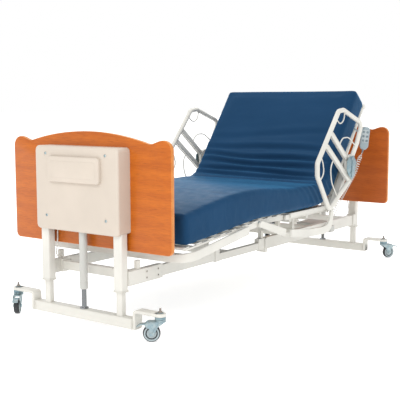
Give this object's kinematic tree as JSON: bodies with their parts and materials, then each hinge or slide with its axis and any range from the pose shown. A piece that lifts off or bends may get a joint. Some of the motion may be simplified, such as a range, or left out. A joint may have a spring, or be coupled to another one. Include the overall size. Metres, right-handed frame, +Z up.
{
  "type": "adjustable hospital bed",
  "caption": "Adjustable hospital bed with lifting ends on casters, an articulated deck, a zoned mattress, pivoting assist rails and a wired handset.",
  "frame": {"origin": "on the floor, under the middle of the bed", "axes": "+X from the footboard to the headboard, +Z up, -Y the side with the handset"},
  "size_m": [2.4844, 1.062, 1.0871],
  "materials": {
    "cream_paint": "off-white powder coat",
    "zinc_plate": "blue-bright zinc plate",
    "chrome_rod": "hard chrome rod",
    "grey_tyre": "dark grey tyre on a grey hub",
    "beige_cover": "warm beige moulded plastic with a fine texture",
    "motor_grey": "light grey plastic and painted tube",
    "cherry_laminate": "orange cherry laminate, satin",
    "navy_cover": "navy coated nylon ticking with a satin sheen",
    "pendant_case": "blue-grey handset shell",
    "pendant_key": "soft keys",
    "cord_jacket": "matt cord jacket"
  },
  "bodies": {
    "foot_base": {"foot_base_beam": "cream_paint", "foot_lift_rod": "chrome_rod", "foot_caster_stems": "zinc_plate"},
    "lift_frame": {"foot_outer_legs": "cream_paint", "head_outer_legs": "cream_paint", "leg_glides": "beige_cover", "foot_lift_motor": "motor_grey", "head_lift_motor": "motor_grey", "footboard": "cherry_laminate", "headboard": "cherry_laminate", "foot_cover": "beige_cover", "head_cover": "beige_cover", "cover_plates": "beige_cover", "cover_screws": "zinc_plate", "foot_half_frame": "cream_paint", "head_half_frame": "cream_paint", "frame_couplers": "zinc_plate", "seat_frame": "cream_paint", "back_motor": "motor_grey", "knee_motor": "motor_grey", "control_box": "motor_grey", "lift_leads": "cord_jacket", "mattress_seat": "navy_cover"},
    "head_base": {"head_base_beam": "cream_paint", "head_lift_rod": "chrome_rod", "head_caster_stems": "zinc_plate"},
    "back_section": {"back_frame": "cream_paint", "rail_brackets": "cream_paint", "handset": "pendant_case", "handset_lead": "cord_jacket", "curly_cord": "cord_jacket", "mattress_back": "navy_cover"},
    "thigh_section": {"thigh_frame": "cream_paint", "mattress_thigh": "navy_cover"},
    "foot_section": {"foot_frame": "cream_paint", "mattress_foot": "navy_cover"},
    "back_actuator_rod": {"back_rod": "chrome_rod"},
    "knee_actuator_rod": {"knee_rod": "chrome_rod"},
    "near_assist_rail": {"near_rail": "cream_paint", "near_rail_latch": "zinc_plate"},
    "far_assist_rail": {"far_rail": "cream_paint", "far_rail_latch": "zinc_plate"},
    "near_foot_caster": {"caster_fork_1": "zinc_plate"},
    "near_foot_wheel": {"caster_wheel_1": "grey_tyre"},
    "near_foot_pedal": {"brake_pedal_1": "zinc_plate"},
    "far_foot_caster": {"caster_fork_2": "zinc_plate"},
    "far_foot_wheel": {"caster_wheel_2": "grey_tyre"},
    "far_foot_pedal": {"brake_pedal_2": "zinc_plate"},
    "near_head_caster": {"caster_fork_3": "zinc_plate"},
    "near_head_wheel": {"caster_wheel_3": "grey_tyre"},
    "near_head_pedal": {"brake_pedal_3": "zinc_plate"},
    "far_head_caster": {"caster_fork_4": "zinc_plate"},
    "far_head_wheel": {"caster_wheel_4": "grey_tyre"},
    "far_head_pedal": {"brake_pedal_4": "zinc_plate"},
    "back_up_key": {"key_back_up": "pendant_key"},
    "back_down_key": {"key_back_down": "pendant_key"},
    "knee_up_key": {"key_knee_up": "pendant_key"},
    "knee_down_key": {"key_knee_down": "pendant_key"},
    "bed_up_key": {"key_bed_up": "pendant_key"},
    "bed_down_key": {"key_bed_down": "pendant_key"}
  },
  "joints": [
    {"name": "lift", "type": "slide", "parent": "foot_base", "child": "lift_frame", "axis": [0, 0, 1], "range_m": [-0.075, 0.34]},
    {"name": "head_lift", "type": "slide", "parent": "lift_frame", "child": "head_base", "axis": [0, 0, 1], "range_m": [-0.34, 0.075]},
    {"name": "back_hinge", "type": "hinge", "parent": "lift_frame", "child": "back_section", "pos_m": [0.36, 0, 0.406], "axis": [0, -1, 0], "range_deg": [-52.1, 12.9], "deforming": ["curly_cord"]},
    {"name": "back_rod_slide", "type": "slide", "parent": "lift_frame", "child": "back_actuator_rod", "axis": [1, 0, 0], "range_m": [-0.095, 0.024]},
    {"name": "thigh_hinge", "type": "hinge", "parent": "lift_frame", "child": "thigh_section", "pos_m": [-0.085, 0, 0.406], "axis": [0, 1, 0], "range_deg": [-0.8, 24.2]},
    {"name": "knee_rod_slide", "type": "slide", "parent": "lift_frame", "child": "knee_actuator_rod", "axis": [-1, 0, 0], "range_m": [-0.002, 0.0465]},
    {"name": "knee_hinge", "type": "hinge", "parent": "thigh_section", "child": "foot_section", "pos_m": [-0.37597, 0, 0.41006], "axis": [0, -1, 0], "range_deg": [-1.2, 34.1]},
    {"name": "near_rail_pivot", "type": "hinge", "parent": "back_section", "child": "near_assist_rail", "pos_m": [0.46035, -0.505, 0.64724], "axis": [0, 1, 0], "range_deg": [0, 180]},
    {"name": "far_rail_pivot", "type": "hinge", "parent": "back_section", "child": "far_assist_rail", "pos_m": [0.46035, 0.505, 0.64724], "axis": [0, 1, 0], "range_deg": [0, 180]},
    {"name": "near_foot_swivel", "type": "hinge", "parent": "foot_base", "child": "near_foot_caster", "pos_m": [-1.151, -0.437, 0.09], "axis": [0, 0, 1], "continuous": true},
    {"name": "near_foot_spin", "type": "hinge", "parent": "near_foot_caster", "child": "near_foot_wheel", "pos_m": [-1.17363, -0.40773, 0.0375], "axis": [-0.7912, -0.6115, 0], "continuous": true},
    {"name": "near_foot_brake", "type": "hinge", "parent": "near_foot_caster", "child": "near_foot_pedal", "pos_m": [-1.1883, -0.38873, 0.076], "axis": [-0.7912, -0.6115, 0], "range_deg": [-2, 10]},
    {"name": "far_foot_swivel", "type": "hinge", "parent": "foot_base", "child": "far_foot_caster", "pos_m": [-1.151, 0.437, 0.09], "axis": [0, 0, 1], "continuous": true},
    {"name": "far_foot_spin", "type": "hinge", "parent": "far_foot_caster", "child": "far_foot_wheel", "pos_m": [-1.18027, 0.41437, 0.0375], "axis": [0.6115, -0.7912, 0], "continuous": true},
    {"name": "far_foot_brake", "type": "hinge", "parent": "far_foot_caster", "child": "far_foot_pedal", "pos_m": [-1.19927, 0.3997, 0.076], "axis": [0.6115, -0.7912, 0], "range_deg": [-2, 10]},
    {"name": "near_head_swivel", "type": "hinge", "parent": "head_base", "child": "near_head_caster", "pos_m": [1.151, -0.437, 0.09], "axis": [0, 0, 1], "continuous": true},
    {"name": "near_head_spin", "type": "hinge", "parent": "near_head_caster", "child": "near_head_wheel", "pos_m": [1.18238, -0.45661, 0.0375], "axis": [0.5299, 0.848, 0], "continuous": true},
    {"name": "near_head_brake", "type": "hinge", "parent": "near_head_caster", "child": "near_head_pedal", "pos_m": [1.20273, -0.46932, 0.076], "axis": [0.5299, 0.848, 0], "range_deg": [-2, 10]},
    {"name": "far_head_swivel", "type": "hinge", "parent": "head_base", "child": "far_head_caster", "pos_m": [1.151, 0.437, 0.09], "axis": [0, 0, 1], "continuous": true},
    {"name": "far_head_spin", "type": "hinge", "parent": "far_head_caster", "child": "far_head_wheel", "pos_m": [1.18304, 0.4555, 0.0375], "axis": [-0.5, 0.866, 0], "continuous": true},
    {"name": "far_head_brake", "type": "hinge", "parent": "far_head_caster", "child": "far_head_pedal", "pos_m": [1.20383, 0.4675, 0.076], "axis": [-0.5, 0.866, 0], "range_deg": [-2, 10]},
    {"name": "back_up_press", "type": "slide", "parent": "back_section", "child": "back_up_key", "axis": [0.7873, 0.5892, -0.1818], "range_m": [0, 0.0015], "stiffness_N_per_m": 900},
    {"name": "back_down_press", "type": "slide", "parent": "back_section", "child": "back_down_key", "axis": [0.7873, 0.5892, -0.1818], "range_m": [0, 0.0015], "stiffness_N_per_m": 900},
    {"name": "knee_up_press", "type": "slide", "parent": "back_section", "child": "knee_up_key", "axis": [0.7873, 0.5892, -0.1818], "range_m": [0, 0.0015], "stiffness_N_per_m": 900},
    {"name": "knee_down_press", "type": "slide", "parent": "back_section", "child": "knee_down_key", "axis": [0.7873, 0.5892, -0.1818], "range_m": [0, 0.0015], "stiffness_N_per_m": 900},
    {"name": "bed_up_press", "type": "slide", "parent": "back_section", "child": "bed_up_key", "axis": [0.7873, 0.5892, -0.1818], "range_m": [0, 0.0015], "stiffness_N_per_m": 900},
    {"name": "bed_down_press", "type": "slide", "parent": "back_section", "child": "bed_down_key", "axis": [0.7873, 0.5892, -0.1818], "range_m": [0, 0.0015], "stiffness_N_per_m": 900}
  ],
  "couplings": [
    {"joint": "head_lift", "follows": "lift", "ratio": -1},
    {"joint": "back_rod_slide", "follows": "back_hinge", "m_per_rad": 0.104},
    {"joint": "knee_rod_slide", "follows": "thigh_hinge", "m_per_rad": 0.109},
    {"joint": "knee_hinge", "follows": "thigh_hinge", "ratio": 1.404}
  ]
}
